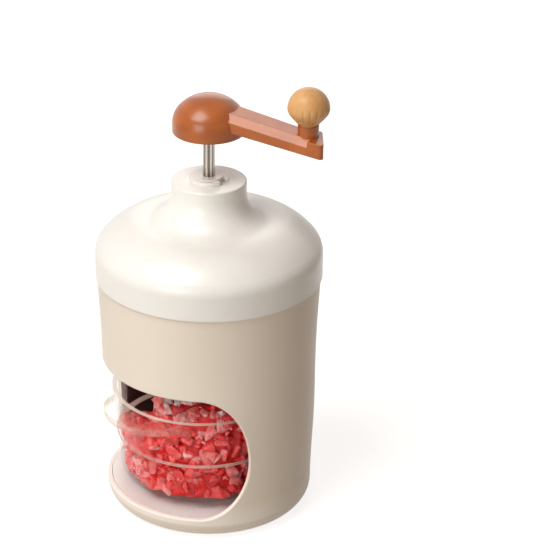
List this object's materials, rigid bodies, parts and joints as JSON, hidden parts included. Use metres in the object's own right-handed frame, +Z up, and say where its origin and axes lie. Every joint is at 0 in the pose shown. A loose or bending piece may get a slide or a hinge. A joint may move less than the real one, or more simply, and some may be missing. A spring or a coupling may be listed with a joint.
{
  "type": "hand cranked ice shaver",
  "caption": "Hand cranked ice shaver: cream drum with a rounded window, lift-off dome lid, fluted spindle, sloping crank with a knob, and a clear bowl that slides out.",
  "frame": {"origin": "centre of the foot pad's underside, on the drum's axis, where the shaver stands", "axes": "+Z up along the drum's and the crank's axis; -Y out through the middle of the bowl window"},
  "size_m": [0.1403, 0.1452, 0.2794],
  "materials": {
    "pad": "matt silicone",
    "shell": "satin cream plastic",
    "tray": "satin pale grey plastic",
    "screw": "bright zinc",
    "liner": "satin dark brown plastic",
    "cup": "white plastic",
    "plate": "brushed",
    "blade": "ground",
    "lid": "satin white plastic",
    "bush": "satin white plastic",
    "washer": "natural nylon",
    "steel": "polished",
    "crank": "satin caramel brown plastic",
    "knob": "satin tan plastic",
    "bowl": "clear plastic"
  },
  "bodies": {
    "housing": {"foot_pad": "pad", "body_shell": "shell", "floor_tray": "tray", "base_screws": "screw", "rear_liner": "liner", "ice_cup": "cup", "cup_screws": "screw", "blade_plate": "plate", "plate_screws": "screw", "blade": "blade", "blade_clamp": "plate", "blade_screws": "screw"},
    "lid": {"lid_dome": "lid"},
    "drive_bush": {"spline_bush": "bush", "bush_washer": "washer", "bush_clip": "steel"},
    "spindle": {"drive_shaft": "steel", "presser_plate": "cup", "presser_spikes": "steel", "presser_washer": "steel", "presser_screw": "screw", "crank_arm": "crank", "crank_pin": "steel", "knob_axle": "steel", "knob_washer": "washer"},
    "knob": {"knob": "knob", "knob_sleeve": "washer"},
    "bowl": {"ice_bowl": "bowl"}
  },
  "joints": [
    {"name": "lid_lift", "type": "slide", "parent": "housing", "child": "lid", "axis": [0, 0, 1], "range_m": [0, 0.06]},
    {"name": "crank_spin", "type": "hinge", "parent": "lid", "child": "drive_bush", "pos_m": [0, 0, 0.2], "axis": [0, 0, 1], "continuous": true},
    {"name": "spindle_slide", "type": "slide", "parent": "drive_bush", "child": "spindle", "axis": [0, 0, 1], "range_m": [-0.0295, 0.018]},
    {"name": "knob_spin", "type": "hinge", "parent": "spindle", "child": "knob", "pos_m": [0.05802, 0.02403, 0.266], "axis": [0, 0, 1], "continuous": true},
    {"name": "bowl_slide", "type": "slide", "parent": "housing", "child": "bowl", "axis": [0, -1, 0], "range_m": [0, 0.125]}
  ]
}
